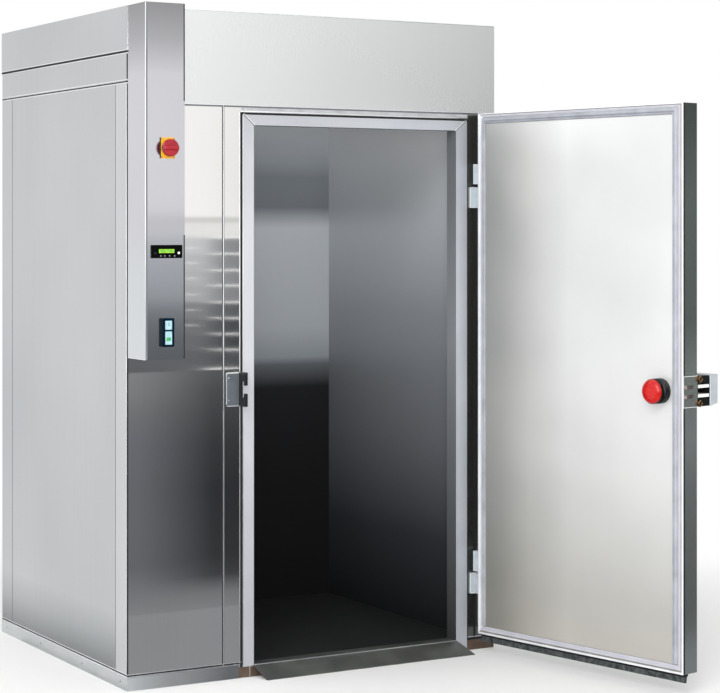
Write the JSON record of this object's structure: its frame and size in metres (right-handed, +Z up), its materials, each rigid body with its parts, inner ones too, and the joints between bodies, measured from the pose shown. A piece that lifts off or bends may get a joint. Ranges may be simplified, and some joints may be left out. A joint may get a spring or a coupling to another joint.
{
  "type": "roll-in blast chiller",
  "caption": "Walk-up insulated blast chiller cabinet for a trolley, with a control column, an open full-height door on rising hinges, a floor ramp, evaporator and fans.",
  "frame": {"origin": "centre of the cabinet's footprint, on the floor", "axes": "+Z up, -Y out of the cabinet's front through the doorway, +X to the hinge side"},
  "size_m": [1.7744, 2.2832, 2.34],
  "materials": {
    "insulated_panel": "fine vertical brush, steel-skinned foam sandwich",
    "crown_steel": "fine horizontal brush",
    "trim_steel": "satin",
    "frame_steel": "satin, pale",
    "ramp_steel": "dull, walked on",
    "hinge_cover": "light grey, semi-matt",
    "pin_steel": "ground",
    "screw_steel": "bright",
    "white_pvc": "extruded, satin",
    "grey_rubber": "soft, matt",
    "black_rubber": "matt, scuffed",
    "black_plastic": "fine texture",
    "keeper_black": "cast, semi-matt",
    "grey_plastic": "moulded, satin",
    "red_plastic": "moulded, glossy",
    "yellow_plate": "moulded, satin",
    "display_green": "backlit window",
    "key_silver": "silver, satin",
    "key_white": "glossy",
    "key_window": "translucent, pale blue-green",
    "bright_chrome": "plated",
    "bolt_brass": "cast and tumbled",
    "copper_pipe": "drawn tube",
    "coil_aluminium": "plain fins",
    "board_green": "lacquered board"
  },
  "bodies": {
    "cabinet": {"floor_panel": "insulated_panel", "left_wall_panel": "insulated_panel", "right_wall_panel": "insulated_panel", "back_wall_panel": "insulated_panel", "front_left_panel": "insulated_panel", "rear_posts": "insulated_panel", "latch_jamb_panel": "insulated_panel", "hinge_jamb_panel": "insulated_panel", "header_panel": "insulated_panel", "roof_panel": "insulated_panel", "plinth_trim": "trim_steel", "crown_front": "crown_steel", "crown_surround": "crown_steel", "door_frame": "frame_steel", "ramp": "ramp_steel", "strike_plate": "grey_plastic", "strike_hooks": "keeper_black", "control_column": "crown_steel", "switch_plate": "yellow_plate", "controller_bezel": "black_plastic", "controller_display": "display_green", "control_board": "board_green", "station_bezel": "black_plastic", "hinge_frame_leaves": "hinge_cover", "evaporator_coil": "coil_aluminium", "drip_tray": "trim_steel", "refrigerant_pipes": "copper_pipe", "junction_box": "grey_plastic", "fixing_screws": "screw_steel"},
    "hinge_pins": {"hinge_pins": "pin_steel"},
    "door": {"door_outer_skin": "trim_steel", "door_core": "insulated_panel", "door_inner_liner": "frame_steel", "door_edge_profile": "white_pvc", "door_gasket": "grey_rubber", "sweep_holder": "trim_steel", "sweep_rubber": "black_rubber", "hinge_door_leaves": "hinge_cover", "latch_edge_plate": "trim_steel", "latch_body": "black_plastic", "latch_bars": "bright_chrome", "knob_collar": "black_plastic"},
    "latch_handle": {"latch_handle": "grey_plastic"},
    "latch_bolts": {"latch_bolts": "bolt_brass"},
    "release": {"emergency_knob": "red_plastic", "release_rod": "pin_steel"},
    "switch_dial": {"switch_dial": "red_plastic"},
    "baffle": {"fan_baffle": "trim_steel", "fan_motors": "black_plastic"},
    "fan_low": {"fan_rotor_low": "black_plastic"},
    "fan_mid": {"fan_rotor_mid": "black_plastic"},
    "fan_high": {"fan_rotor_high": "black_plastic"},
    "key_standby": {"key_standby": "key_white"},
    "key_light": {"key_light": "black_plastic"},
    "key_cycle": {"key_cycle": "key_silver"},
    "key_down": {"key_down": "key_silver"},
    "key_up": {"key_up": "key_silver"},
    "key_set": {"key_set": "key_silver"},
    "start_key": {"start_key": "key_window"},
    "stop_key": {"stop_key": "key_window"}
  },
  "joints": [
    {"name": "door_rise", "type": "slide", "parent": "cabinet", "child": "hinge_pins", "axis": [0, 0, 1], "range_m": [-0.0109, 0.0052]},
    {"name": "door_hinge", "type": "hinge", "parent": "hinge_pins", "child": "door", "pos_m": [0.6685, -0.6535, 0], "axis": [0, 0, 1], "range_deg": [-102, 48]},
    {"name": "latch_pull", "type": "hinge", "parent": "door", "child": "latch_handle", "pos_m": [0.96123, -1.40302, 1.02668], "axis": [0, 0, 1], "range_deg": [0, 30], "stiffness_Nm_per_rad": 1.5},
    {"name": "latch_bolt_slide", "type": "slide", "parent": "door", "child": "latch_bolts", "axis": [-0.2079, 0.9781, 0], "range_m": [0, 0.0096]},
    {"name": "release_push", "type": "slide", "parent": "door", "child": "release", "axis": [0.9781, 0.2079, 0], "range_m": [0, 0.008], "stiffness_N_per_m": 400},
    {"name": "switch_turn", "type": "hinge", "parent": "cabinet", "child": "switch_dial", "pos_m": [-0.666, -0.757, 1.8505], "axis": [0, -1, 0], "range_deg": [-90, 0]},
    {"name": "baffle_hinge", "type": "hinge", "parent": "cabinet", "child": "baffle", "pos_m": [-0.3265, 0.5115, 0], "axis": [0, 0, 1], "range_deg": [0, 60]},
    {"name": "fan_low_spin", "type": "hinge", "parent": "baffle", "child": "fan_low", "pos_m": [-0.3555, -0.0095, 0.43], "axis": [1, 0, 0], "continuous": true},
    {"name": "fan_mid_spin", "type": "hinge", "parent": "baffle", "child": "fan_mid", "pos_m": [-0.3555, -0.0095, 1.05], "axis": [1, 0, 0], "continuous": true},
    {"name": "fan_high_spin", "type": "hinge", "parent": "baffle", "child": "fan_high", "pos_m": [-0.3555, -0.0095, 1.67], "axis": [1, 0, 0], "continuous": true},
    {"name": "key_standby_press", "type": "slide", "parent": "cabinet", "child": "key_standby", "axis": [0, 1, 0], "range_m": [0, 0.0012], "stiffness_N_per_m": 200},
    {"name": "key_light_press", "type": "slide", "parent": "cabinet", "child": "key_light", "axis": [0, 1, 0], "range_m": [0, 0.0012], "stiffness_N_per_m": 200},
    {"name": "key_cycle_press", "type": "slide", "parent": "cabinet", "child": "key_cycle", "axis": [0, 1, 0], "range_m": [0, 0.0012], "stiffness_N_per_m": 200},
    {"name": "key_down_press", "type": "slide", "parent": "cabinet", "child": "key_down", "axis": [0, 1, 0], "range_m": [0, 0.0012], "stiffness_N_per_m": 200},
    {"name": "key_up_press", "type": "slide", "parent": "cabinet", "child": "key_up", "axis": [0, 1, 0], "range_m": [0, 0.0012], "stiffness_N_per_m": 200},
    {"name": "key_set_press", "type": "slide", "parent": "cabinet", "child": "key_set", "axis": [0, 1, 0], "range_m": [0, 0.0012], "stiffness_N_per_m": 200},
    {"name": "start_key_press", "type": "slide", "parent": "cabinet", "child": "start_key", "axis": [0, 1, 0], "range_m": [0, 0.003], "stiffness_N_per_m": 200},
    {"name": "stop_key_press", "type": "slide", "parent": "cabinet", "child": "stop_key", "axis": [0, 1, 0], "range_m": [0, 0.003], "stiffness_N_per_m": 200}
  ],
  "couplings": [
    {"joint": "door_rise", "follows": "door_hinge", "m_per_rad": 0.006},
    {"joint": "latch_bolt_slide", "follows": "latch_pull", "m_per_rad": 0.018}
  ]
}
